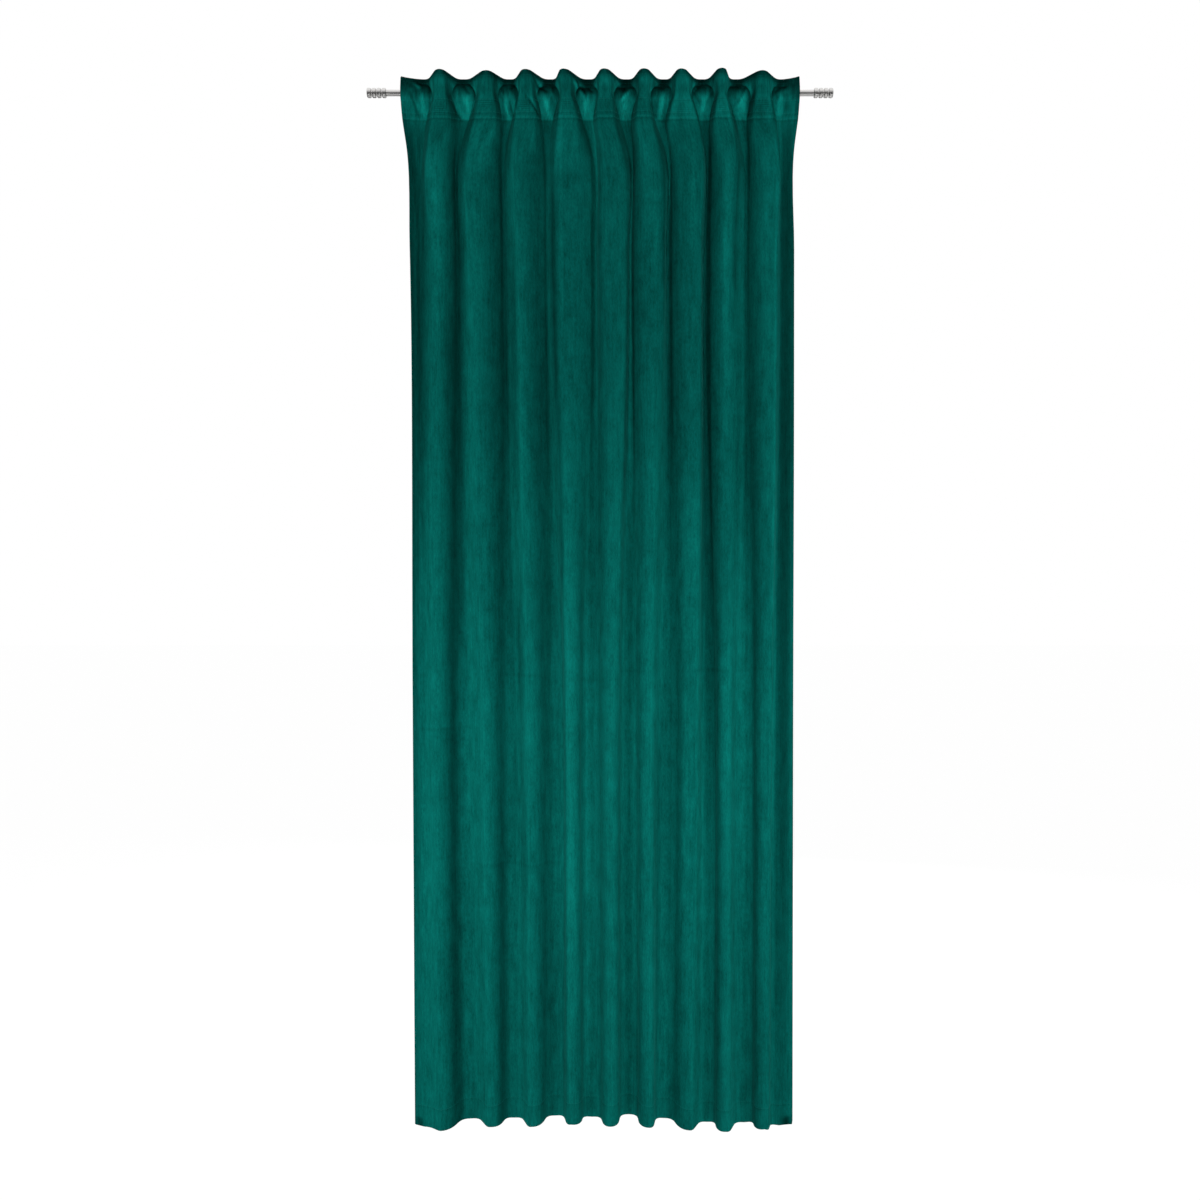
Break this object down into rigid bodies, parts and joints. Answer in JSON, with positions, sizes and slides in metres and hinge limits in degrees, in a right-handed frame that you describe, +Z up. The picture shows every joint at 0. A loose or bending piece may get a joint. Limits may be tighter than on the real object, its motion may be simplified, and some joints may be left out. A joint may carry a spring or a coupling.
{
  "type": "gathered velvet curtain panel on a curtain rod",
  "caption": "Long velvet curtain panel gathered into soft vertical folds, hung by hidden cloth loops on a slim steel rod with ribbed finials.",
  "frame": {"origin": "middle of the rod's axis", "axes": "+X along the rod to the right as seen from the room, -Y towards the room, +Z up; the cloth hangs down -Z"},
  "size_m": [1.0948, 0.0702, 2.4595],
  "materials": {
    "velvet": "dark teal velvet with a short soft pile",
    "tape": "woven heading tape, matt",
    "loop_cloth": "folded strip of the plain back of the velvet",
    "steel": "satin steel, turned"
  },
  "bodies": {
    "root": {"curtain_panel": "velvet", "heading_tape": "tape", "tab_01": "loop_cloth", "tab_02": "loop_cloth", "tab_03": "loop_cloth", "tab_04": "loop_cloth", "tab_05": "loop_cloth", "tab_06": "loop_cloth", "tab_07": "loop_cloth", "tab_08": "loop_cloth", "tab_09": "loop_cloth", "tab_10": "loop_cloth", "rod": "steel", "finial_left": "steel", "finial_right": "steel"}
  },
  "joints": []
}
